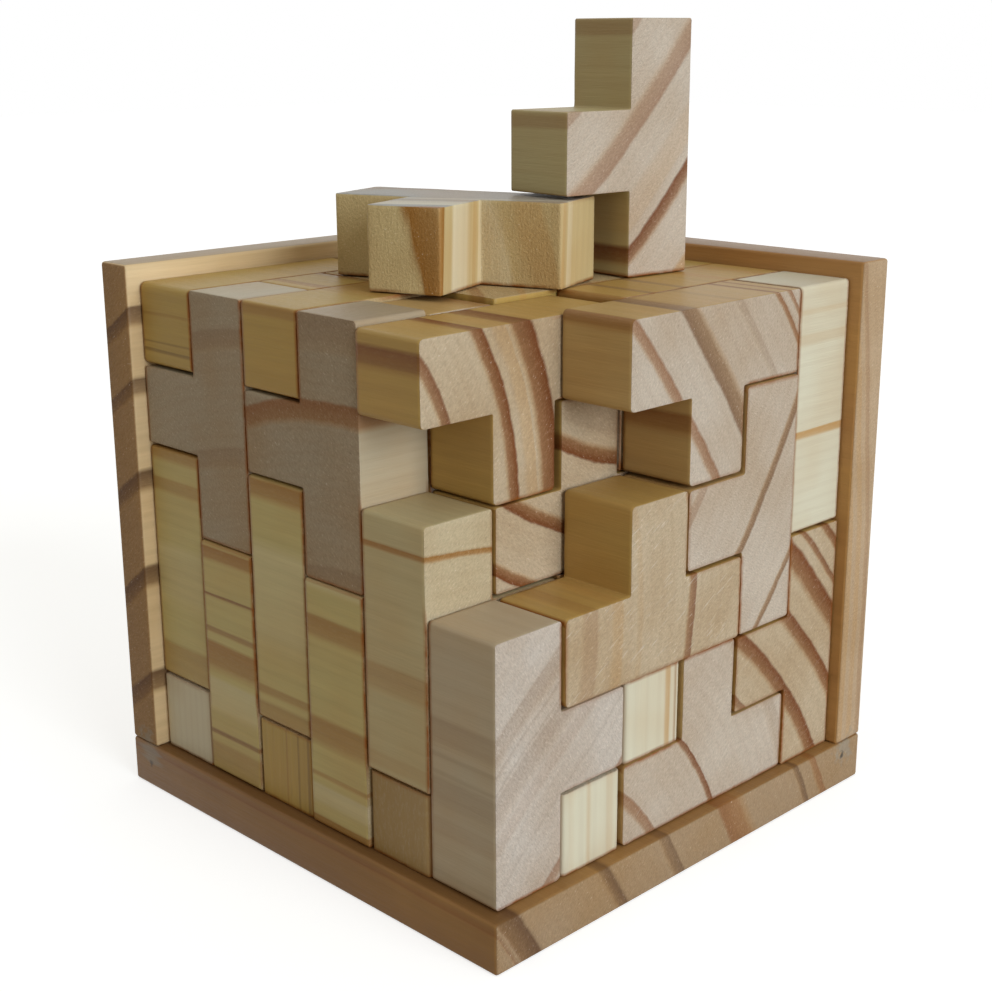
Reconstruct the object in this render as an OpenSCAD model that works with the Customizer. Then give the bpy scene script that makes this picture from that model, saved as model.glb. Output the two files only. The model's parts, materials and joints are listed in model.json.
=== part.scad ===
// Cube puzzle of 54 T-shaped wooden pieces in an open corner tray.
// Each piece covers four cells of a 6 x 6 x 6 lattice. Two pieces are out of
// the cube: one lies flat on top, and one stands beside it and leans over it.
// Origin: middle of the tray's footprint, underside of the base board. +Z is up.
// The open corner of the tray faces -X and -Y.

/* [Pieces] */
// Side of one lattice cell, which is the width and thickness of a piece
cell = 15; // [10:0.5:25]
// Play between two neighbouring pieces
piece_play = 0.2; // [0.1:0.05:0.5]
// Chamfer along the long-grain edges of a piece
piece_break = 0.6; // [0.2:0.1:1.5]
// How much narrower a nub is than its bar is thick
nub_slack = 0.6; // [0:0.1:1.2]
// Most that a piece of the two open faces stands proud of its neighbours
most_proud = 0.6; // [0:0.1:1.5]

/* [Tray] */
// Thickness of the base board
base_thick = 9; // [4:0.5:15]
// Thickness of the two upright boards
wall_thick = 8; // [4:0.5:15]
// Ledge of the base and the uprights beyond the open faces of the cube
ledge = 2.5; // [2:0.5:8]
// Height of the uprights above the top of the cube
wall_rise = 3; // [0:0.5:10]
// Play between the cube and each upright
wall_play = 0.2; // [0.1:0.1:1]
// Chamfer along the long edges of the boards
board_break = 0.6; // [0.2:0.1:1.5]

/* [Loose pieces] */
// Place of the lying piece's middle along X, in cells from the near corner
lying_col = 2.90; // [2.85:0.01:3.4]
// Place of the lying piece's middle along Y, in cells from the near corner
lying_row = 3.41; // [3.2:0.01:3.5]
// Turn of the lying piece
lying_turn = 19; // [15:1:21]
// Place of the standing piece's middle along X, in cells from the near corner
standing_col = 4.69; // [4.6:0.01:4.9]
// Place of the standing piece's middle along Y, in cells from the near corner
standing_row = 2.35; // [2.1:0.01:2.5]
// Turn of the standing piece
standing_turn = -5; // [-9:1:0]
// Gap between a resting piece and what carries it
seat_gap = 0.1; // [0.05:0.05:0.3]

/* [Hidden] */
cells = 6;
cube_side = cells * cell;
footprint = ledge + cube_side + wall_play + wall_thick;
wall_high = cube_side + wall_rise;
// Near bottom corner of the cube in the part's frame
cube_corner = [ledge - footprint / 2, ledge - footprint / 2, base_thick];
// Underside of a loose piece
loose_floor = base_thick + cube_side - piece_play / 2 + seat_gap;

// Plan of the packed cube, one row of strings for each layer, bottom layer first.
// In a layer the far row (+Y) comes first and the near row last, and each string
// runs from -X to +X. Four equal letters are one piece, and a dot is an empty cell.
LAYERS = [
    ["VVVvvv", "TVwwwx", "SSSzxx", "QSzzzx", "PPPyyy", "APCCCE"],
    ["Uaaavu", "TTawuu", "RbbbBu", "QQkBBB", "ODDDyn", "AADCEE"],
    ["UUcsss", "Tcccqr", "RRbqqq", "Qkkjon", "OOjjjn", "AIIIGE"],
    ["Udddsr", "KYhhhr", "Rgggpr", "MXkfom", "OWWWon", "..IGGF"],
    ["KJdttt", "KYYhpl", "MLgfpm", "MXXfom", ".NWfZF", "...HGF"],
    ["JJJitl", "KYiiil", "LLLepl", "MXeeem", "NNNZZZ", "..HHHF"]
];
LETTERS = "ABCDEFGHIJKLMNOPQRSTUVWXYZabcdefghijklmnopqrstuvwxyz";
// Pieces that pull straight out of the -Y face and of the -X face
FRONT_PULLS = "ACEFGHI";
LEFT_PULLS = "KMNOQRTU";

// Proud pieces follow a repeating run of steps around the faces
proud_steps = 4;
function holds(letters, letter) = len(search(letter, letters)) > 0;
function proud(i) = most_proud * (i * 3 % (proud_steps + 1)) / proud_steps;
function pull_shift(i) =
    holds(FRONT_PULLS, LETTERS[i]) ? [0, -proud(i), 0] :
    holds(LEFT_PULLS, LETTERS[i]) ? [-proud(i), 0, 0] : [0, 0, 0];

// The four cells of a piece, and its middle cell, which touches the other three
function piece_cells(letter) = [
    for (z = [0:cells - 1], y = [0:cells - 1], x = [0:cells - 1])
        if (LAYERS[z][cells - 1 - y][x] == letter) [x, y, z]
];
function touching(a, list) = [for (b = list) if (norm(a - b) == 1) b];
function middle_cell(list) = [for (a = list) if (len(touching(a, list)) == 3) a][0];
// The nub is the neighbour of the middle cell with no neighbour across from it
function across(a, middle, list) = [for (b = list) if (a + b == 2 * middle) b];
function nub_cell(list, middle) =
    [for (a = touching(middle, list)) if (len(across(a, middle, list)) == 0) a][0];
function bar_cell(list, middle, nub) =
    [for (a = touching(middle, list)) if (a != nub) a][0];

function tee_name(i) = str("tee_", i < 9 ? "0" : "", i + 1);
function tee_tone(i) = [0.80 + 0.04 * (i % 3), 0.64 + 0.03 * (i % 4), 0.44 + 0.03 * (i % 5)];

// Outline of a piece about its middle: a bar of three cells along X with a nub of
// one cell towards +Y, each outer corner cut by the chamfer
function tee_outline(half, nub_half, reach, cut) = [
    [-reach + cut, -half], [reach - cut, -half], [reach, -half + cut], [reach, half - cut],
    [reach - cut, half], [nub_half, half], [nub_half, reach - cut], [nub_half - cut, reach],
    [-nub_half + cut, reach], [-nub_half, reach - cut], [-nub_half, half], [-reach + cut, half],
    [-reach, half - cut], [-reach, -half + cut]
];

module tee() {
    half = (cell - piece_play) / 2;
    reach = half + cell;
    linear_extrude(height = 2 * half, center = true)
        polygon(tee_outline(half, half - nub_slack / 2, reach, piece_break));
}

// A piece at a point, with its bar along one unit vector and its nub along another
module tee_at(middle, bar, nub) {
    face = cross(bar, nub);
    multmatrix([
        [bar[0], nub[0], face[0], middle[0]],
        [bar[1], nub[1], face[1], middle[1]],
        [bar[2], nub[2], face[2], middle[2]]
    ]) tee();
}

module packed_tee(i) {
    list = piece_cells(LETTERS[i]);
    middle = middle_cell(list);
    nub = nub_cell(list, middle);
    bar = bar_cell(list, middle, nub);
    at = cube_corner + cell * (middle + [0.5, 0.5, 0.5]) + pull_shift(i);
    color(tee_tone(i)) tee_at(at, bar - middle, nub - middle);
}

function loose_at(col, row, rise) =
    [cube_corner[0] + cell * col, cube_corner[1] + cell * row, loose_floor + rise];

// Flat on its broad side, bar pointing away from the open corner
module tee_lying() {
    at = loose_at(lying_col, lying_row, (cell - piece_play) / 2);
    bar = [-sin(lying_turn), cos(lying_turn), 0];
    nub = [-cos(lying_turn), -sin(lying_turn), 0];
    color([0.84, 0.70, 0.48]) tee_at(at, bar, nub);
}

// On the end of its bar, with its nub over the lying piece
module tee_standing() {
    at = loose_at(standing_col, standing_row, 1.5 * cell - piece_play / 2);
    nub = [-cos(standing_turn), -sin(standing_turn), 0];
    color([0.82, 0.68, 0.52]) tee_at(at, [0, 0, 1], nub);
}

// A board along +X from the origin, with its long edges eased
module board(long, wide, thick) {
    cut = board_break;
    rotate([90, 0, 90]) linear_extrude(height = long)
        polygon([
            [cut, 0], [wide - cut, 0], [wide, cut], [wide, thick - cut],
            [wide - cut, thick], [cut, thick], [0, thick - cut], [0, cut]
        ]);
}

// Turns a board from along X to along Y, still in the corner of +X and +Y
module along_y(wide) {
    translate([wide, 0, 0]) rotate([0, 0, 90]) children();
}

module tray_base() {
    color([0.78, 0.62, 0.44])
        translate([-footprint / 2, -footprint / 2, 0])
            along_y(footprint) board(footprint, footprint, base_thick);
}

module tray_back_wall() {
    color([0.86, 0.76, 0.58])
        translate([-footprint / 2, footprint / 2 - wall_thick, base_thick])
            board(footprint, wall_thick, wall_high);
}

module tray_side_wall() {
    color([0.80, 0.66, 0.50])
        translate([footprint / 2 - wall_thick, -footprint / 2, base_thick])
            along_y(wall_thick) board(footprint - wall_thick, wall_thick, wall_high);
}

tray_base();
tray_back_wall();
tray_side_wall();
tee_lying();
tee_standing();
for (i = [0:len(LETTERS) - 1])
    packed_tee(i);
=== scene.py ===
import json
import math
import random

import bmesh
import bpy
from mathutils import Matrix, Vector
from mathutils.bvhtree import BVHTree

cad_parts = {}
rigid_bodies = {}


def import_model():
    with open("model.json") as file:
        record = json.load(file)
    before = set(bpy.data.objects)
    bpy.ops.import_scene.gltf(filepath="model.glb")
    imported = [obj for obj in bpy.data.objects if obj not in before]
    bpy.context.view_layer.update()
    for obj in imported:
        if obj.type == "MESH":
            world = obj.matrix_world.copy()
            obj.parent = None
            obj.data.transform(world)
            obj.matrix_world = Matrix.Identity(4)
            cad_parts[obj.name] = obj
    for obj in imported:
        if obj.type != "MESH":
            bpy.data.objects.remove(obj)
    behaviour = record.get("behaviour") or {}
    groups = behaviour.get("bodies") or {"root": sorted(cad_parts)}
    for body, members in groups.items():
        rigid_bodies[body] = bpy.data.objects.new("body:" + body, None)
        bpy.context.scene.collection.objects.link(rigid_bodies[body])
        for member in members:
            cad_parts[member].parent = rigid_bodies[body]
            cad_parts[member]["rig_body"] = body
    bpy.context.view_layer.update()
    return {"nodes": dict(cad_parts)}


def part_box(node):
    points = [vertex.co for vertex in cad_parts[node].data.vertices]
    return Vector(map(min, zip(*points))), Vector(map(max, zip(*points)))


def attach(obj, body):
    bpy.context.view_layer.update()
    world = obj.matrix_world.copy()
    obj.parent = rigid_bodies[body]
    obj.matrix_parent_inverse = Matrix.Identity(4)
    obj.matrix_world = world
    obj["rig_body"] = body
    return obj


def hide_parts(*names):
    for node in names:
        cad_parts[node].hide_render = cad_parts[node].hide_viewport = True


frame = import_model()

# A cube puzzle of T-shaped wooden pieces in an open corner tray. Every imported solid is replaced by
# a piece with rounded edges, made of solid wood whose growth rings are placed piece by piece.
# Lengths are in metres, or in cells where a comment says so.

# ---------------------------------------------------------------- sizes
CELL = 0.015                    # one small cube of a T piece
HALF_PLAY = 0.0001              # from a piece to the edge of its cells
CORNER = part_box("tee_01")[0] - Vector((HALF_PLAY,) * 3)   # the cube's near bottom corner
NUB_SLACK = 0.0006              # how much narrower a nub is than its bar
MOST_LESS = 0.00016             # most that a piece is smaller than its CAD solid
PROFILE_ROUND = 0.00055         # usual rounding of the long edges of a piece
ROUND_LUCK = (0.7, 1.5)         # least and most of that rounding, as a share of the usual one
HOLLOW_ROUND = 0.0003           # rounding of the hollow corners beside a nub
LEAST_ROUND = 0.00004           # least rounding of any corner
ARC_STEPS = 4                   # steps round a rounded corner
SIDE_STEP = 0.005               # usual step along a straight side
CUT_EASE, EASE_KNEE = 0.00015, 0.3   # easing of the sawn edges of a piece, and its bend as a share
CHIP = 0.00008                  # unevenness of a sawn edge
EDGE_FADE = 0.0006              # how far the painted shade of a seam reaches
TOUCH = 0.0003                  # gap up to which neighbours count as touching
TOP_ZONE = 0.003                # height of the part that sinks with a lower top
TEE_CREASE, BOARD_CREASE = math.radians(50), math.radians(40)   # least angle of a sharp edge
BOARD_EASE, EASE_STEPS, EASE_PROFILE = 0.0006, 3, 0.5   # easing of the boards' edges, and its form
SQUARE = 0.02                   # most of the cosine between two directions square to each other
NEAR_TIP = 0.45                 # share of its height beyond which a piece's ends lie, from its middle
WORLD_AXES = (Vector((1, 0, 0)), Vector((0, 1, 0)), Vector((0, 0, 1)))

# Rounding of the long edges where it isn't left to chance.
ROUNDING = {"tee_04": 0.001, "tee_08": 0.0009, "tee_10": 0.0011, "tee_14": 0.0009, "tee_16": 0.001,
            "tee_lying": 0.0005, "tee_standing": 0.0004}
# Pieces whose top sits a little lower.
SUNK_TOPS = {"tee_14": 0.0009, "tee_24": 0.0008}


def at(x, y, z):
    """A point given in cells from the cube's near bottom corner."""
    return CORNER + CELL * Vector((x, y, z))


def paint(red, green, blue):
    """A written 0-255 colour as the linear one that a shader takes."""
    def linear(c):
        c /= 255
        return c / 12.92 if c <= 0.04045 else ((c + 0.055) / 1.055) ** 2.4
    return (linear(red), linear(green), linear(blue), 1.0)


# ---------------------------------------------------------------- colours of the wood
# Each tone is the colour of the sawn end grain and that of the planed long grain.
TONES = {
    "ash": (paint(196, 184, 172), paint(186, 170, 144)),
    "lilac": (paint(194, 179, 162), paint(190, 158, 104)),
    "drab": (paint(194, 179, 162), paint(188, 174, 130)),
    "sand": (paint(188, 168, 140), paint(184, 150, 86)),
    "taupe": (paint(164, 148, 126), paint(184, 171, 145)),
    "cream": (paint(204, 194, 172), paint(213, 206, 182)),
    "straw": (paint(194, 178, 146), paint(192, 176, 134)),
    "honey": (paint(184, 160, 118), paint(178, 148, 80)),
    "olive": (paint(180, 166, 130), paint(192, 175, 116)),
    "pale": (paint(158, 154, 146), paint(200, 178, 130)),
    "base": (paint(160, 134, 104), paint(142, 104, 60)),
    "left": (paint(152, 118, 80), paint(216, 188, 144)),
    "right": (paint(186, 160, 130), paint(178, 132, 80)),
}
# How much the fibres show in a tone, 1 where not named.
FIBROUS = {"cream": 0.2, "ash": 0.6, "taupe": 0.6, "pale": 0.4, "drab": 0.4}
BANDS = {
    "rust": paint(114, 62, 26),
    "brown": paint(134, 82, 38),
    "tan": paint(184, 138, 76),
    "grey": paint(132, 102, 76),
    "dark": paint(84, 52, 28),
    "cream": paint(230, 220, 192),
    "gold": paint(146, 112, 50),
    "amber": paint(148, 98, 34),
}
# Across a band: step in widths, share of its own colour (the rest is tan), strength. The crisp side
# is the outer one, or the inner one where a width is negative.
BAND_SHAPE = ((-0.6, 0.2, 0.0), (-0.3, 0.8, 0.85), (0.34, 1.0, 1.0), (0.46, 1.0, 0.0))
RAMP_ENDS = (0.001, 0.999)                    # a band's stops beyond these are left out
SEAM_SHADE_COLOUR = paint(140, 80, 24)                # painted shade in the seams between touching pieces, orange-brown
FLECK = paint(238, 232, 222)                  # torn fibres that catch the light
DUST_AND_SHEEN_COLOUR = paint(142, 126, 112)                  # upper edges of the boards: grey of dust, and a painted sheen
FILLER = paint(150, 148, 138)
NAIL = paint(46, 40, 34)

# ---------------------------------------------------------------- figure of the wood
# Noises, in cells: their stretch across the grain (twice) and along it, scale, detail, roughness.
NOISES = {
    "sway": ((1, 1, 0.12), 0.5, 1.0, 0.5),          # slow wandering of the rings
    "ripple": ((1, 1, 0.1), 5.0, 3.0, 0.6),         # small unevenness of the rings and seams
    "blotch": ((1, 1, 1), 0.8, 2.0, 0.5),           # broad changes of colour
    "streak": ((1, 1, 0.05), 9.0, 3.0, 0.6),        # streaks along the grain
    "fibre": ((1, 1, 0.04), 42.0, 2.0, 0.7),        # fibres along the grain
    "speck": ((0.6, 1.2, 0.3), 40.0, 3.0, 0.7),     # pores and flecks of end grain
    "grit": ((0.6, 1.2, 0.8), 40.0, 3.0, 0.7),      # the same on a rough side
    "scratch": ((1.0, 14.0, 1.0), 2.6, 2.0, 0.7),   # marks of the saw
}
MOST_SHIFT = 40                               # how far a piece's noises are shifted, in cells
SLANT = (0.5, 1.0)                            # slant of the saw marks, in radians
FINE_RINGS = (5, 8)                           # faint rings in a cell
SWAY, RIPPLE = 0.05, 0.014                    # how far the rings wander, in cells
FULL, MIDDLE, NARROW = (0.2, 0.8), (0.3, 0.7), (0.33, 0.67)   # ranges that a noise is taken to have
END_FACING = (0.55, 0.85)                     # cosine to the grain where end grain starts and is full
# What a noise's or a facing's range does: its low and high value, and the effect at each.
TAN_PATCHES = (0.4, 0.75, 0.0, 0.3)           # of blotch: how much tan is mixed in
RING_TINT = (-0.2, 1.0, 0.0, 0.05)            # of the faint rings' sine: how much brown
BAND_WEAR = (0.5, 0.7, 1.0, 0.88)             # of speck: how much of a band is left
PORES = (0.3, 0.22, 0.0, 0.5)                 # of speck: how dark
FLECKS = (0.66, 0.74, 0.0, 0.5)               # of speck: how light
SCRAPE_RANGE = (0.62, 0.72)                   # of scratch: where a scrape starts and is full
SEAM_SHADE_PATCHES = (0.3, 0.55, 0.5, 1.0)          # of ripple: how much of the painted seam shade shows
TOP_SEAM_SHADE = (0.5, 0.95, 1.0, 0.45)             # of facing up: how much of the painted seam shade shows
DUST_AND_SHEEN_FACING = (0.85, 0.97)                    # of facing up: where the dust and painted sheen start and are full
# Shades: how far one goes below and above 1.
STREAK_SHADE, FIBRE_SHADE, GRIT_SHADE = (0.06, 0.05), (0.025, 0.02), (0.13, 0.12)
BLOTCH_SHADE = (1.07, 0.91)                   # shade of end grain at the least and most blotch
ROUGH_SIDE_GRIT = 0.6                         # how plain the grit is on a rough-sided piece
MARK_RAGGED, MARK_CORE = 0.7, 0.4             # shares of a mark's reach: its uneven rim, its full core
LONG_RELIEF, SCRATCH_RELIEF, SPECK_RELIEF = 0.4, 0.6, 1.4
BUMP_STRENGTH, BUMP_DEPTH = 0.6, 0.00025
LONG_ROUGHNESS, END_ROUGHNESS = 0.42, 0.62    # planed and sawn wood
GLOSS_SPECKS = (0.06, -0.06)                  # roughness added at the least and most speck
SPECULAR = 0.2
FAR_AXIS = 40.0                               # from the middle of nearly straight rings, in cells


def flat(angle, *bands):
    """Nearly straight rings: each band is (distance towards angle, width, kind, strength)."""
    a = math.radians(angle)
    centre = (-FAR_AXIS * math.cos(a), -FAR_AXIS * math.sin(a))
    return centre, [(FAR_AXIS + d, width, kind, strength) for d, width, kind, strength in bands]


def rings(x, y, *bands):
    """Rings round (x, y): each band is (radius, width, kind, strength)."""
    return (x, y), list(bands)


# The growth rings of each piece that shows, in the plane across its grain, in cells. A grain
# along X has (y, z) there, one along Y has (x, z), and one along Z has (x, y).
WOODS = {
    "tee_01": ("ash", flat(
        133.5, (0.78, 0.3, "grey", 0.3), (1.29, 0.28, "grey", 0.3), (1.09, 0.04, "dark", 0.15),
        (0.944, 0.04, "dark", 0.15), (0.109, 0.05, "dark", 0.12), (-0.5, 0.16, "brown", 0.6),
        (0.5, 0.2, "brown", 0.15))),
    "tee_03": ("lilac", rings(
        -0.03, -1.62, (3.01, 0.17, "brown", 0.75), (3.99, 0.1, "rust", 0.95),
        (5.35, 0.25, "grey", 0.3))),
    "tee_04": ("cream", flat(
        0, (2.72, 0.1, "tan", 0.7), (2.86, 0.05, "brown", 0.6), (2.3, 0.2, "tan", 0.08))),
    "tee_05": ("sand", rings(
        -0.3, -3.3, (6.2, 0.12, "rust", 0.75), (6.8, 0.24, "rust", 1.0),
        (7.47, 0.22, "rust", 1.0), (8.06, 0.32, "rust", 1.0), (8.38, 0.1, "rust", 0.9),
        (8.7, 0.14, "rust", 0.95))),
    "tee_06": ("cream", flat(
        90, (4.235, 0.1, "tan", 0.9), (5.37, 0.16, "tan", 0.25), (5.7, 0.08, "tan", 0.25))),
    "tee_07": ("lilac", rings(
        -4, 9.15, (8.93, 0.16, "brown", 0.4), (10.02, 0.13, "grey", 1.0),
        (10.96, 0.1, "grey", 1.0))),
    "tee_08": ("lilac", rings(
        -6.2, -1.8, (11.3, 0.16, "brown", 0.8), (12.0, -0.28, "grey", 1.0),
        (12.7, 0.12, "grey", 0.25), (13.24, 0.09, "brown", 0.9), (13.42, 0.08, "brown", 0.8))),
    "tee_09": ("sand", rings(
        -2, 2.8, (5.1, 0.15, "rust", 0.8), (3.4, 0.3, "brown", 0.3), (3.85, 0.2, "tan", 0.3),
        (4.2, 0.1, "tan", 0.15))),
    "tee_10": ("honey", flat(
        90, (5.2, 0.05, "dark", 0.6), (5.32, 0.04, "dark", 0.5), (5.66, 0.05, "brown", 0.35))),
    "tee_11": ("taupe", rings(3.0, -2.0, (7.64, 0.26, "grey", 0.5), (6.28, 0.26, "grey", 0.4))),
    "tee_12": ("honey", flat(80, (5.82, 0.16, "brown", 0.5), (6.2, 0.2, "brown", 0.5))),
    "tee_13": ("taupe", rings(
        2.2, -0.55, (5.5, 0.28, "brown", 0.85), (3.68, 0.25, "grey", 0.4),
        (6.4, 0.5, "grey", 0.4))),
    "tee_14": ("sand", rings(
        -2.56, 3.93, (3.07, 0.17, "rust", 0.9), (3.86, 0.19, "rust", 1.0),
        (4.14, 0.2, "tan", 0.35), (4.42, 0.34, "rust", 1.0))),
    "tee_15": ("straw", flat(
        83, (3.62, 0.08, "amber", 0.95), (2.16, 0.36, "amber", 0.45), (1.2, 0.2, "amber", 0.25))),
    "tee_16": ("cream", flat(
        150, (-1.22, 0.06, "tan", 0.35), (-1.52, 0.1, "tan", 0.25), (-0.98, 0.08, "tan", 0.1),
        (0.72, 1.0, "gold", 0.95))),
    "tee_17": ("olive", flat(
        90, (2.47, 0.3, "amber", 0.75), (1.2, 0.38, "amber", 0.7), (0.65, 0.06, "amber", 0.6),
        (0.06, 0.14, "amber", 0.8), (3.0, 0.2, "cream", 0.3), (0.4, 0.3, "cream", 0.3))),
    "tee_18": ("olive", flat(
        90, (3.87, 0.26, "amber", 0.85), (1.1, 0.3, "amber", 0.5), (1.38, 0.14, "amber", 0.6),
        (2.6, 1.5, "cream", 0.25))),
    "tee_19": ("honey", flat(
        90, (3.1, 0.06, "dark", 0.5), (3.28, 0.05, "dark", 0.45), (3.5, 0.04, "brown", 0.4))),
    "tee_20": ("olive", flat(
        90, (2.875, 0.2, "amber", 0.9), (2.35, 0.05, "rust", 0.9), (1.88, 0.09, "brown", 0.7),
        (1.55, 0.42, "amber", 0.85), (0.55, 0.07, "rust", 0.8), (0.26, 0.4, "amber", 0.5),
        (1.05, 0.5, "cream", 0.3))),
    "tee_21": ("olive", flat(
        90, (3.92, 0.22, "amber", 0.75), (3.52, 0.2, "amber", 0.55), (1.25, 0.5, "amber", 0.5),
        (2.4, 0.9, "cream", 0.15))),
    "tee_22": ("cream", flat(90, (5.5, 1.8, "gold", 0.12))),
    "tee_23": ("sand", rings(
        4.29, 8.94, (4.55, 0.4, "grey", 0.25), (4.96, 0.21, "rust", 1.0),
        (5.81, 0.19, "rust", 1.0), (6.51, 0.16, "rust", 1.0))),
}
# The same for the two loose pieces, from the middle of the bar: (along the bar, towards the nub).
LOOSE_WOODS = {
    "tee_lying": ("pale", flat(
        101, (1.445, -0.12, "amber", 0.95), (1.0, 0.5, "cream", 0.6), (0.66, 0.1, "tan", 0.4),
        (0.5, 0.16, "cream", 0.35), (-0.52, 0.1, "brown", 0.5))),
    "tee_standing": ("drab", rings(
        7.35, 7.5, (9.99, 0.3, "brown", 0.6), (10.7, 0.36, "tan", 0.2),
        (11.05, -0.2, "rust", 0.95), (9.2, 0.16, "brown", 0.4), (11.8, 0.16, "tan", 0.6))),
}
LOOSE_EXTENT = ((-1.5, -0.5), (1.5, 1.5))     # a piece's corners in that plane
# A piece whose sides towards its nub are as rough as end grain, and how its grain leans there.
ROUGH_SIDED = {"tee_lying": 0.06}
# Pieces with pale scrapes of the saw on their end grain, and how plain they are.
SCRAPED = {"tee_03": 0.15, "tee_05": 0.1, "tee_09": 0.3}
# Pieces that don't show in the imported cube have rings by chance: the tones, the kinds of band, the
# most bands, and the least and most of: distance of the rings' axis, first band, width, strength, gap.
CHANCE_TONES = ("honey", "sand", "olive", "lilac", "cream")
CHANCE_KINDS = ("brown", "tan", "grey", "rust")
CHANCE_BANDS = 7
CHANCE_AWAY, CHANCE_FIRST, CHANCE_WIDTH = (4, 9), (0.3, 0.9), (0.07, 0.2)
CHANCE_STRENGTH, CHANCE_GAP = (0.35, 0.85), (0.45, 1.0)
REACH_ROOM = 0.5                              # room of a ramp beyond its piece's radii, in cells

# node: tone, the two world axes across the grain, rings in that plane
BOARDS = {
    "tray_base": ("base", (0, 2), flat(
        33, (-0.36, 0.5, "rust", 0.45), (0.0, 0.34, "dark", 0.85), (1.26, 0.18, "dark", 0.75),
        (2.13, 0.2, "dark", 0.6), (3.2, -0.44, "brown", 0.75), (4.37, 0.12, "dark", 0.7),
        (4.7, 0.14, "brown", 0.7))),
    "tray_back_wall": ("left", (1, 2), flat(
        58, (4.2, 0.28, "dark", 0.9), (5.3, 0.26, "dark", 0.9), (6.35, 0.26, "dark", 0.9),
        (7.3, 0.2, "dark", 0.8), (8.0, 0.22, "dark", 0.85))),
    "tray_side_wall": ("right", (0, 2), flat(
        0, (6.1, 0.14, "tan", 0.4), (6.3, 0.12, "tan", 0.35), (6.48, 0.1, "brown", 0.35))),
}
BOARD_DUST_AND_SHEEN = {"tray_base": 0.0, "tray_back_wall": 0.6, "tray_side_wall": 0.6}   # dust and painted sheen on a board's top
# Filler and nail heads in the boards' ends: middle in cells, reach in metres, colour and strength.
MARKS = {
    "tray_base": [
        ((-0.17, 6.15, -0.12), 0.0032, FILLER, 0.45),
        ((-0.17, 6.17, -0.3), 0.0009, NAIL, 0.8),
        ((6.2, -0.17, -0.1), 0.0032, FILLER, 0.45),
        ((6.16, -0.17, -0.18), 0.0009, NAIL, 0.8),
    ],
    "tray_back_wall": [((-0.17, 6.25, 0.05), 0.0026, FILLER, 0.5)],
    "tray_side_wall": [((6.3, -0.17, 0.03), 0.0018, FILLER, 0.4)],
}
# Seeds of a piece's own chances start at these numbers.
BOARD_SEED, CHANCE_SEED = 200, 1000


# ---------------------------------------------------------------- node helpers
class Tree:
    """A few short words for making the shader nodes of a material or world."""

    def __init__(self, owner):
        owner.use_nodes = True
        self.nodes = owner.node_tree.nodes
        self.links = owner.node_tree.links
        self.nodes.clear()

    def add(self, kind, inputs=(), **settings):
        node = self.nodes.new("ShaderNode" + kind)
        for key, value in settings.items():
            setattr(node, key, value)
        for key, value in dict(inputs).items():
            self.put(value, node.inputs[key])
        return node

    def put(self, value, socket):
        if isinstance(value, bpy.types.NodeSocket):
            self.links.new(value, socket)
        else:
            socket.default_value = value

    def math(self, operation, a, b=0.0, c=0.0):
        return self.add("Math", {0: a, 1: b, 2: c}, operation=operation).outputs[0]

    def span(self, value, low, high, to_low=0.0, to_high=1.0):
        """value's range low..high as to_low..to_high, clamped."""
        node = self.add("MapRange", {0: value, 1: low, 2: high, 3: to_low, 4: to_high})
        return node.outputs[0]

    def scaled(self, vector, x, y, z):
        node = self.add("VectorMath", {0: vector, 1: (x, y, z)}, operation="MULTIPLY")
        return node.outputs[0]

    def dot(self, vector, direction):
        node = self.add("VectorMath", {0: vector, 1: tuple(direction)}, operation="DOT_PRODUCT")
        return node.outputs["Value"]

    def noise(self, kind, vector):
        stretch, scale, detail, roughness = NOISES[kind]
        node = self.add("TexNoise", {"Vector": self.scaled(vector, *stretch), "Scale": scale,
                                     "Detail": detail, "Roughness": roughness})
        return node.outputs[0]

    def mix(self, factor, a, b, blend="MIX"):
        """Two colours, mixed."""
        node = self.add("Mix", data_type="RGBA", blend_type=blend)
        self.put(factor, node.inputs[0])
        self.put(a, node.inputs[6])
        self.put(b, node.inputs[7])
        return node.outputs[2]

    def between(self, factor, a, b):
        """Two numbers, mixed."""
        node = self.add("Mix", data_type="FLOAT")
        for socket, value in ((0, factor), (2, a), (3, b)):
            self.put(value, node.inputs[socket])
        return node.outputs[0]

    def shown_white(self):
        """1 for rays from the camera, or off or through gloss, which are to see a plain background."""
        path = self.add("LightPath").outputs
        seen = self.math("MAXIMUM", path["Is Camera Ray"], path["Is Glossy Ray"])
        return self.math("MAXIMUM", seen, path["Is Transmission Ray"])


def band_ramp(tree, radius, reach, bands):
    """A colour ramp over the radii in reach, with one peak for each band."""
    low, high = reach
    ramp = tree.add("ValToRGB", {0: tree.span(radius, low, high)})
    stops = ramp.color_ramp.elements
    clear = BANDS[bands[0][2]][:3] + (0.0,)
    stops[0].position, stops[0].color = 0.0, clear
    stops[1].position, stops[1].color = 1.0, clear
    for middle, width, kind, strength in bands:
        for step, share, height in BAND_SHAPE:
            place = (middle + step * width - low) / (high - low)
            if RAMP_ENDS[0] < place < RAMP_ENDS[1]:
                stop = stops.new(place)
                colour = [share * a + (1 - share) * b for a, b in zip(BANDS[kind], BANDS["tan"])]
                stop.color = colour[:3] + [height * strength]
    return ramp


def around_one(spread, share):
    """The least and greatest factor of a shade, when share of its spread is used."""
    below, above = spread
    return 1 - below * share, 1 + above * share


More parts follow.
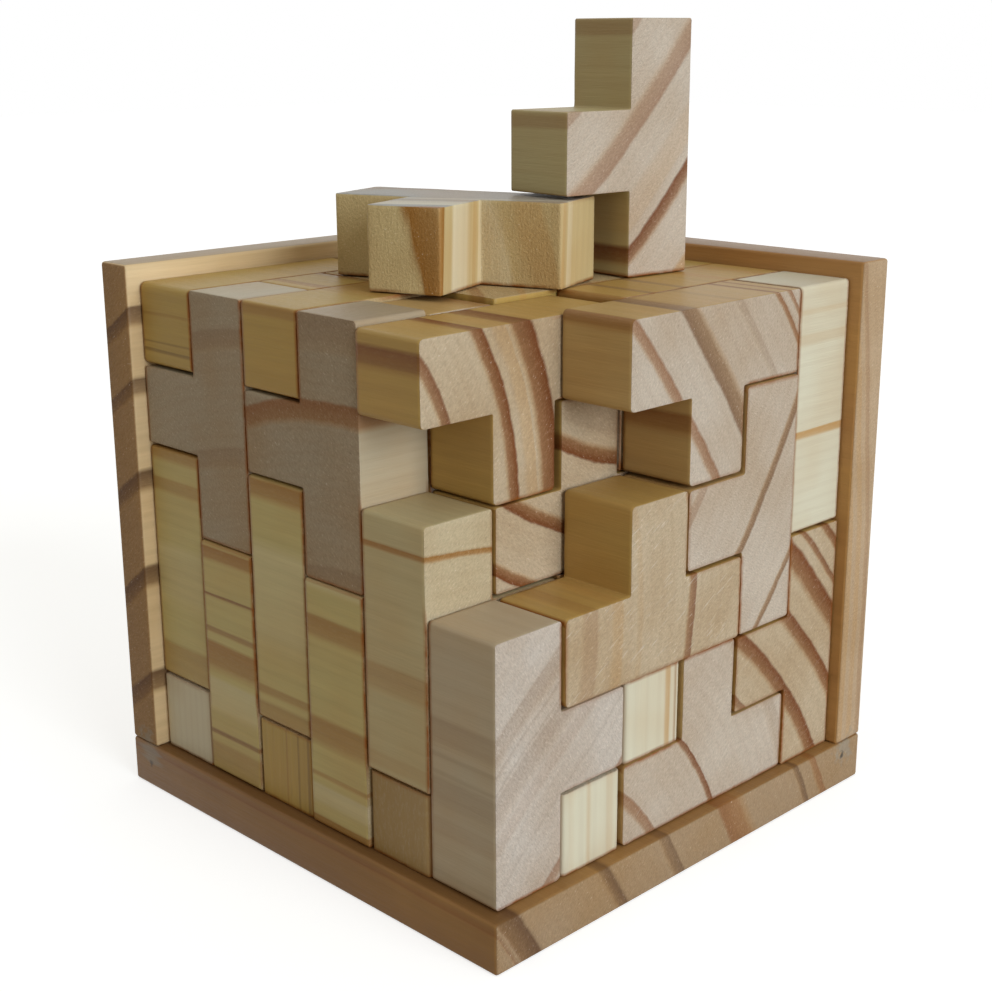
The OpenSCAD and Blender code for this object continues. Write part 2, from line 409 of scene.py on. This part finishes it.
def wood(name, tone, axes, centre, reach, bands, seed, painted_seam_shade=True, sawn_side=None, scrapes=0.0,
         dust_and_sheen=0.0, marks=()):
    """A material of solid wood: rings round an axis, fibres along it, pores and saw marks across it.

    axes are the two directions across the grain and the grain's own, and centre is a point on the
    rings' axis. reach and bands are the rings' radii and looks, in cells. painted_seam_shade paints
    shade into the seams, where the mesh's attribute edge is. sawn_side is a direction whose faces are
    rough instead of the end grain. scrapes and dusty are the strengths of the saw's scrapes and of
    the grey on top: dust, and a painted sheen. marks are (middle, reach, colour, strength).
    """
    material = bpy.data.materials.new(name)
    tree = Tree(material)
    luck = random.Random(seed)
    end_tone, long_tone = TONES[tone]
    turn = Matrix((axes[0], axes[1], axes[2])).transposed()
    place = tree.add("TexCoord")
    normal = place.outputs["Normal"]
    body = tree.add("Mapping", {"Vector": place.outputs["Object"], "Location": centre,
                                "Rotation": turn.to_euler(), "Scale": (CELL,) * 3},
                    vector_type="TEXTURE").outputs[0]
    shift = tuple(luck.uniform(-MOST_SHIFT, MOST_SHIFT) for _ in range(3))
    own = tree.add("VectorMath", {0: body, 1: shift}, operation="ADD").outputs[0]

    across = tree.add("VectorMath", {0: tree.scaled(body, 1, 1, 0)}, operation="LENGTH")
    ripple = tree.noise("ripple", own)
    radius = tree.math("ADD", across.outputs["Value"],
                       tree.span(tree.noise("sway", own), *FULL, -SWAY, SWAY))
    radius = tree.math("ADD", radius, tree.span(ripple, *FULL, -RIPPLE, RIPPLE))

    end_grain = tree.span(tree.math("ABSOLUTE", tree.dot(normal, axes[2])), *END_FACING)
    sawn = end_grain
    if sawn_side:
        sawn = tree.span(tree.math("ABSOLUTE", tree.dot(normal, sawn_side)), *END_FACING)

    blotch = tree.noise("blotch", own)
    streak = tree.noise("streak", own)
    fibre = tree.noise("fibre", own)
    slope = luck.choice((-1, 1)) * luck.uniform(*SLANT)
    lean = tree.add("VectorRotate", {"Vector": own, "Axis": (0, 0, 1), "Angle": slope}).outputs[0]
    speck = tree.noise("grit" if sawn_side else "speck", lean)
    scratch = tree.noise("scratch", lean)

    base = tree.mix(end_grain, long_tone, end_tone)
    base = tree.mix(tree.span(blotch, *TAN_PATCHES), base, BANDS["tan"])
    fine_rings = tree.math("MULTIPLY", radius, 2 * math.pi * luck.uniform(*FINE_RINGS))
    base = tree.mix(tree.span(tree.math("SINE", fine_rings), *RING_TINT), base, BANDS["brown"])
    ramp = band_ramp(tree, radius, reach, bands)
    band = tree.math("MULTIPLY", ramp.outputs["Alpha"], tree.span(speck, *BAND_WEAR))
    base = tree.mix(band, base, ramp.outputs["Color"])

    fibrous = FIBROUS.get(tone, 1.0)
    long_shade = tree.math("MULTIPLY", tree.span(streak, *MIDDLE, *around_one(STREAK_SHADE, fibrous)),
                           tree.span(fibre, *MIDDLE, *around_one(FIBRE_SHADE, fibrous)))
    gritty = around_one(GRIT_SHADE, ROUGH_SIDE_GRIT if sawn_side else 1.0)
    end_shade = tree.math("MULTIPLY", tree.span(speck, *NARROW, *gritty),
                          tree.span(blotch, *MIDDLE, *BLOTCH_SHADE))
    shade = tree.between(sawn, long_shade, end_shade)
    tint = tree.add("CombineColor", {0: shade, 1: shade, 2: shade}).outputs[0]
    base = tree.mix(1.0, base, tint, "MULTIPLY")
    base = tree.mix(tree.math("MULTIPLY", tree.span(speck, *PORES), sawn), base, BANDS["dark"])
    base = tree.mix(tree.math("MULTIPLY", tree.span(speck, *FLECKS), sawn), base, FLECK)
    if scrapes:
        scrape = tree.span(scratch, *SCRAPE_RANGE, 0.0, scrapes)
        base = tree.mix(tree.math("MULTIPLY", scrape, sawn), base, FLECK)
    up = tree.dot(normal, (0, 0, 1))
    # painted shade in the seams where a neighbour touches, weaker on upward faces, in patches
    if painted_seam_shade:
        edge = tree.add("Attribute", attribute_name="edge").outputs["Fac"]
        edge = tree.math("MULTIPLY", edge, tree.span(up, *TOP_SEAM_SHADE))
        base = tree.mix(tree.math("MULTIPLY", edge, tree.span(ripple, *SEAM_SHADE_PATCHES)), base, SEAM_SHADE_COLOUR)

    for spot, spread, colour, most in marks:
        away = tree.add("VectorMath", {0: place.outputs["Object"], 1: tuple(spot)},
                        operation="DISTANCE")
        rim = tree.span(streak, *MIDDLE, -MARK_RAGGED * spread, MARK_RAGGED * spread)
        ragged = tree.math("ADD", away.outputs["Value"], rim)
        base = tree.mix(tree.span(ragged, spread, MARK_CORE * spread, 0.0, most), base, colour)
    # grey on upward faces: dust, and a painted sheen
    if dust_and_sheen:
        base = tree.mix(tree.span(up, *DUST_AND_SHEEN_FACING, 0.0, dust_and_sheen), base, DUST_AND_SHEEN_COLOUR)

    long_relief = tree.math("MULTIPLY", tree.math("ADD", streak, fibre), LONG_RELIEF)
    end_relief = tree.math("ADD", tree.math("MULTIPLY", scratch, SCRATCH_RELIEF),
                           tree.math("MULTIPLY", speck, SPECK_RELIEF))
    relief = tree.between(sawn, long_relief, end_relief)
    bump = tree.add("Bump", {"Height": relief, "Strength": BUMP_STRENGTH, "Distance": BUMP_DEPTH})
    roughness = tree.math("ADD", tree.span(speck, *MIDDLE, *GLOSS_SPECKS),
                          tree.span(sawn, 0.0, 1.0, LONG_ROUGHNESS, END_ROUGHNESS))
    shader = tree.add("BsdfPrincipled", {"Base Color": base, "Roughness": roughness,
                                         "Normal": bump.outputs[0], "Specular IOR Level": SPECULAR})
    tree.add("OutputMaterial", {0: shader.outputs[0]})
    return material


def link_piece(name, bm, crease):
    """The object of a bmesh, sharp at the edges whose faces meet at more than the angle crease."""
    mesh = bpy.data.meshes.new(name)
    bm.to_mesh(mesh)
    bm.free()
    mesh.set_sharp_from_angle(angle=crease)
    piece = bpy.data.objects.new(name, mesh)
    bpy.context.scene.collection.objects.link(piece)
    return piece


def plane_of(node, a, b):
    """A node's box in the plane of the world axes a and b, in cells: its low and its high corner."""
    low, high = [(c - CORNER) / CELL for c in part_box(node)]
    return (low[a], low[b]), (high[a], high[b])


def world_grain(a, b, centre):
    """The wood's axes when it grows square to world axes a and b, and a point on the rings' axis."""
    spot = [0.0, 0.0, 0.0]
    spot[a], spot[b] = centre
    return (WORLD_AXES[a], WORLD_AXES[b], WORLD_AXES[a].cross(WORLD_AXES[b])), at(*spot)


def radii_reach(corners, centre):
    """The least and greatest distance from centre to the box between corners, with some room."""
    (x0, y0), (x1, y1) = corners
    middle = Vector(centre)
    nearest = Vector((min(max(centre[0], x0), x1), min(max(centre[1], y0), y1)))
    far = max((Vector(c) - middle).length for c in ((x0, y0), (x0, y1), (x1, y0), (x1, y1)))
    return max(0.0, (nearest - middle).length - REACH_ROOM), far + REACH_ROOM


def chance_rings(luck, corners):
    """Rings for a piece whose faces don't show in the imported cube."""
    (x0, y0), (x1, y1) = corners
    a = luck.uniform(0, 2 * math.pi)
    away = luck.uniform(*CHANCE_AWAY)
    centre = ((x0 + x1) / 2 + away * math.cos(a), (y0 + y1) / 2 + away * math.sin(a))
    low, high = radii_reach(corners, centre)
    bands, radius = [], low + luck.uniform(*CHANCE_FIRST)
    while radius < high and len(bands) < CHANCE_BANDS:
        bands.append((radius, luck.uniform(*CHANCE_WIDTH), luck.choice(CHANCE_KINDS),
                      luck.uniform(*CHANCE_STRENGTH)))
        radius += luck.uniform(*CHANCE_GAP)
    return centre, bands


# ---------------------------------------------------------------- T pieces
def tee_frame(node):
    """Where a T lies, measured on its CAD solid.

    Returns the middle of its bar's middle cube, the directions of its bar, nub and grain, the
    length of the bar, the height over the nub, and the thickness.
    """
    mesh = frame["nodes"][node].data
    points = [v.co.copy() for v in mesh.vertices]
    axes = []
    for face in sorted(mesh.polygons, key=lambda f: -f.area):
        if all(abs(face.normal.dot(axis)) < SQUARE for axis in axes):
            axes.append(face.normal.copy())
    spans = []
    for axis in axes[:3]:
        along = [p.dot(axis) for p in points]
        spans.append((max(along) - min(along), (max(along) + min(along)) / 2, axis))
    spans.sort(key=lambda span: -span[0])
    (length, bar_middle, bar), (height, nub_middle, nub), (thickness, _, _) = spans
    if max(bar, key=abs) < 0:
        bar, bar_middle = -bar, -bar_middle
    tip = [p.dot(bar) for p in points if p.dot(nub) > nub_middle + height * NEAR_TIP]
    if max(tip) - min(tip) > length / 2:      # that end is the bar's long side, not the nub's tip
        nub, nub_middle = -nub, -nub_middle
    grain = bar.cross(nub)
    along = [p.dot(grain) for p in points]
    middle = (bar * bar_middle + nub * (nub_middle - (height - thickness) / 2)
              + grain * (max(along) + min(along)) / 2)
    return middle, bar, nub, grain, length, height, thickness


def tee_ring(length, height, thickness, rounding, inset):
    """Points round a T's outline moved inwards by inset, and whether each is on a rounded corner."""
    half, t = length / 2, thickness / 2
    n, tip = t - NUB_SLACK / 2, height - t
    corners = [(-half, -t), (half, -t), (half, t), (n, t), (n, tip), (-n, tip), (-n, t), (-half, t)]
    points = []
    for i, corner in enumerate(corners):
        here = Vector(corner)
        back, on = Vector(corners[i - 1]) - here, Vector(corners[(i + 1) % len(corners)]) - here
        hollow = back.x * on.y - back.y * on.x > 0
        b, o = back.normalized(), on.normalized()
        r = HOLLOW_ROUND if hollow else rounding
        pivot = here + (b + o) * (r if hollow else max(r, inset + LEAST_ROUND))
        radius = r + inset if hollow else max(r - inset, LEAST_ROUND)
        for step in range(ARC_STEPS + 1):
            a = math.radians(90 * step / ARC_STEPS)
            points.append((pivot - radius * (o * math.cos(a) + b * math.sin(a)), True))
        inward = Vector((-o.y, o.x)) * inset
        fade = r + EDGE_FADE
        straight = on.length - 2 * fade
        count = max(1, round(straight / SIDE_STEP))
        for k in range(count + 1):
            points.append((here + inward + o * (fade + straight * k / count), False))
    return points


def neighbour_tree():
    """A search tree over every CAD surface, and the node that each of its faces belongs to."""
    points, faces, owners = [], [], []
    for node, solid in sorted(frame["nodes"].items()):
        start = len(points)
        points += [v.co.copy() for v in solid.data.vertices]
        faces += [[start + i for i in face.vertices] for face in solid.data.polygons]
        owners += [node] * len(solid.data.polygons)
    return BVHTree.FromPolygons(points, faces), owners


NEIGHBOURS, OWNERS = neighbour_tree()


# The weight of the painted shade in a seam: how near another part is.
def closeness(point, node):
    """1 where another part touches point, 0 where none is within EDGE_FADE."""
    near = [d for _, _, face, d in NEIGHBOURS.find_nearest_range(point, EDGE_FADE + TOUCH)
            if OWNERS[face] != node and OWNERS[face] not in SUNK_TOPS]
    return min(1.0, max(0.0, 1 - (min(near) - TOUCH) / EDGE_FADE)) if near else 0.0


def tee_sections(w):
    """Where a T is cut across its grain, end to end: distance from its middle, and inset there.

    The first and the last are the flat ends, and the next ones the eased edges.
    """
    knee = EASE_KNEE * CUT_EASE
    half = [(w, CUT_EASE + EDGE_FADE), (w, CUT_EASE), (w - knee, knee), (w - CUT_EASE, 0.0),
            (w - CUT_EASE - EDGE_FADE, 0.0), (w / 3, 0.0)]
    return [(-depth, inset) for depth, inset in half] + half[::-1]


def tee_mesh(name, node, seed):
    """The piece that stands for a CAD T: rounded long edges, eased and slightly chipped sawn edges."""
    luck = random.Random(seed)
    middle, bar, nub, grain, bar_length, height, thickness = tee_frame(node)
    less = luck.uniform(0.0, MOST_LESS)
    rounding = ROUNDING.get(node, luck.uniform(*ROUND_LUCK) * PROFILE_ROUND)
    w = (thickness - luck.uniform(0, MOST_LESS)) / 2
    size = (bar_length - less, height - less, thickness - less)
    bm = bmesh.new()
    touch = bm.verts.layers.float.new("edge")
    shift = Vector([luck.uniform(-less, less) / 2 for _ in range(3)])
    loops = []
    for depth, inset in tee_sections(w):
        eased = 0 < inset <= CUT_EASE
        tinted = eased or abs(depth) == w - CUT_EASE
        loop = []
        for p, rounded in tee_ring(*size, rounding, inset):
            chip = luck.uniform(0, CHIP) if eased else 0.0
            spot = bar * p.x + nub * p.y + grain * (depth - math.copysign(chip, depth))
            vert = bm.verts.new(middle + shift + spot)
            if tinted or (rounded and abs(depth) < w):    # any edge of the piece, weighted for the painted seam shade by how near a neighbour is
                vert[touch] = closeness(vert.co, node)
            loop.append(vert)
        loops.append(loop)
    count = len(loops[0])
    for a, b in zip(loops, loops[1:]):
        for i in range(count):
            j = (i + 1) % count
            bm.faces.new((a[i], a[j], b[j], b[i])).smooth = True
    bm.faces.new(list(reversed(loops[0])))
    bm.faces.new(loops[-1])
    bmesh.ops.recalc_face_normals(bm, faces=bm.faces)
    top = max(v.co.z for v in bm.verts)
    for v in bm.verts:
        if v.co.z > top - TOP_ZONE:
            v.co.z -= SUNK_TOPS.get(node, 0.0)
    return link_piece(name, bm, TEE_CREASE), (middle, bar, nub, grain)


def build_tee(node, number):
    """The piece that stands for a CAD T, in its own wood and on its CAD body."""
    body = frame["nodes"][node]["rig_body"]
    piece, (middle, bar, nub, grain) = tee_mesh(node.replace("tee", "block"), node, number)
    luck = random.Random(CHANCE_SEED + number)
    if node in LOOSE_WOODS:
        tone, (centre, bands) = LOOSE_WOODS[node]
        axes = (bar, nub, grain)
        place = middle + CELL * (bar * centre[0] + nub * centre[1])
        if node in ROUGH_SIDED:
            leant = (nub + ROUGH_SIDED[node] * grain).normalized()
            axes = (bar, leant, bar.cross(leant))
        corners = LOOSE_EXTENT
    else:
        g = max(range(3), key=lambda k: abs(grain[k]))
        a, b = [k for k in range(3) if k != g]
        corners = plane_of(node, a, b)
        if node in WOODS:
            tone, (centre, bands) = WOODS[node]
        else:
            tone = luck.choice(CHANCE_TONES)
            centre, bands = chance_rings(luck, corners)
        axes, place = world_grain(a, b, centre)
    material = wood(node.replace("tee", "wood"), tone, axes, place,
                    radii_reach(corners, centre), bands, number,
                    sawn_side=nub if node in ROUGH_SIDED else None, scrapes=SCRAPED.get(node, 0.0))
    piece.data.materials.append(material)
    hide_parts(node)
    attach(piece, body)


# ---------------------------------------------------------------- tray boards
def build_board(node, number):
    """The piece that stands for a board of the tray: a block with eased edges, in its own wood."""
    tone, (a, b), (centre, bands) = BOARDS[node]
    low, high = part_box(node)
    bm = bmesh.new()
    bmesh.ops.create_cube(bm, size=1.0)
    for v in bm.verts:
        v.co = Vector(((low + high) / 2)[k] + v.co[k] * (high - low)[k] for k in range(3))
    bmesh.ops.bevel(bm, geom=bm.edges[:], offset=BOARD_EASE, segments=EASE_STEPS,
                    profile=EASE_PROFILE, affect="EDGES")
    for face in bm.faces:
        face.smooth = True
    piece = link_piece(node.replace("tray", "board"), bm, BOARD_CREASE)
    axes, place = world_grain(a, b, centre)
    marks = [(at(*spot), spread, colour, most) for spot, spread, colour, most in MARKS[node]]
    material = wood(node.replace("tray", "wood"), tone, axes, place,
                    radii_reach(plane_of(node, a, b), centre), bands, BOARD_SEED + number,
                    painted_seam_shade=False, dust_and_sheen=BOARD_DUST_AND_SHEEN[node], marks=marks)
    piece.data.materials.append(material)
    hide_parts(node)
    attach(piece, frame["nodes"][node]["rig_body"])


# ---------------------------------------------------------------- stage
WORLD_LOW = (0.115, 0.089, 0.038, 1.0)        # light of the room at the height of the table
WORLD_HIGH = (0.67, 0.67, 0.625, 1.0)         # light from the ceiling
KEY_COLOUR, KEY_STRENGTH = (0.84, 0.92, 1.0), 2.5
KEY_FROM = (-0.03, -0.96, 0.26)               # the direction that the window's light comes from
KEY_SPREAD = 40.0                             # how wide the window looks, in degrees
FLOOR_REACH = 2.5
FLOOR_LIT = (0.47, 0.40, 0.31, 1.0)           # the floor as the object's light finds it
FLOOR_SEEN = (0.62, 0.62, 0.62, 1.0)          # and as the camera sees it, under its own glow
FLOOR_GLOW = 0.66
# The camera, fitted to the lattice corners in the photograph: azimuth, elevation and roll in
# radians, place in cells, and lens in millimetres.
CAMERA_AZIMUTH, CAMERA_ELEVATION, CAMERA_ROLL = -0.783810, 0.278912, -0.004138
CAMERA_PLACE = (-10.5629, -10.6161, 8.8204)
CAMERA_LENS, CAMERA_SENSOR, CAMERA_CLIP = 58.665, 36.0, (0.01, 10.0)


def set_world():
    """Soft light for the object, and plain white where the camera or a shiny face sees the world."""
    world = bpy.data.worlds.new("room")
    bpy.context.scene.world = world
    tree = Tree(world)
    way = tree.add("SeparateXYZ", {0: tree.add("TexCoord").outputs["Generated"]})
    light = tree.add("Background", {"Color": tree.mix(way.outputs["Z"], WORLD_LOW, WORLD_HIGH)})
    white = tree.add("Background", {"Color": (1, 1, 1, 1)})
    both = tree.add("MixShader", {0: tree.shown_white(), 1: light.outputs[0], 2: white.outputs[0]})
    tree.add("OutputWorld", {0: both.outputs[0]})


def set_lights():
    """One broad window."""
    key = bpy.data.objects.new("window_light", bpy.data.lights.new("window_light", "SUN"))
    key.data.energy = KEY_STRENGTH
    key.data.color = KEY_COLOUR
    key.data.angle = math.radians(KEY_SPREAD)
    key.rotation_mode = "QUATERNION"
    key.rotation_quaternion = Vector(KEY_FROM).to_track_quat("Z", "Y")
    bpy.context.scene.collection.objects.link(key)


def set_floor():
    """A floor that looks pale and keeps the object's shadow, but throws little light back up."""
    mesh = bpy.data.meshes.new("floor")
    r = FLOOR_REACH
    mesh.from_pydata([(-r, -r, 0), (r, -r, 0), (r, r, 0), (-r, r, 0)], [], [(0, 1, 2, 3)])
    floor = bpy.data.objects.new("floor", mesh)
    bpy.context.scene.collection.objects.link(floor)
    material = bpy.data.materials.new("floor")
    tree = Tree(material)
    matt = tree.add("BsdfDiffuse", {"Color": FLOOR_LIT})
    pale = tree.add("BsdfDiffuse", {"Color": FLOOR_SEEN})
    glow = tree.add("Emission", {"Color": (1, 1, 1, 1), "Strength": FLOOR_GLOW})
    shown = tree.add("AddShader", {0: pale.outputs[0], 1: glow.outputs[0]})
    both = tree.add("MixShader", {0: tree.shown_white(), 1: matt.outputs[0], 2: shown.outputs[0]})
    tree.add("OutputMaterial", {0: both.outputs[0]})
    mesh.materials.append(material)


def set_camera():
    """A plain perspective camera; roll turns its right and up about the line of sight."""
    level = math.cos(CAMERA_ELEVATION)
    back = Vector((math.sin(CAMERA_AZIMUTH) * level, -math.cos(CAMERA_AZIMUTH) * level,
                   math.sin(CAMERA_ELEVATION)))
    right = Vector((0, 0, 1)).cross(back).normalized()
    up = back.cross(right)
    c, s = math.cos(CAMERA_ROLL), math.sin(CAMERA_ROLL)
    right, up = c * right + s * up, c * up - s * right
    camera = bpy.data.objects.new("camera", bpy.data.cameras.new("camera"))
    camera.data.sensor_width = CAMERA_SENSOR
    camera.data.lens = CAMERA_LENS
    camera.data.clip_start, camera.data.clip_end = CAMERA_CLIP
    turn = Matrix((right, up, back)).transposed().to_4x4()
    camera.matrix_world = Matrix.Translation(at(*CAMERA_PLACE)) @ turn
    bpy.context.scene.collection.objects.link(camera)
    bpy.context.scene.camera = camera


set_camera()
set_world()
set_lights()
set_floor()
tees = sorted(n for n in frame["nodes"] if n.startswith("tee_"))
for number, node in enumerate(tees):
    build_tee(node, number)
for number, node in enumerate(BOARDS):
    build_board(node, number)
bpy.context.scene.view_settings.view_transform = "Standard"
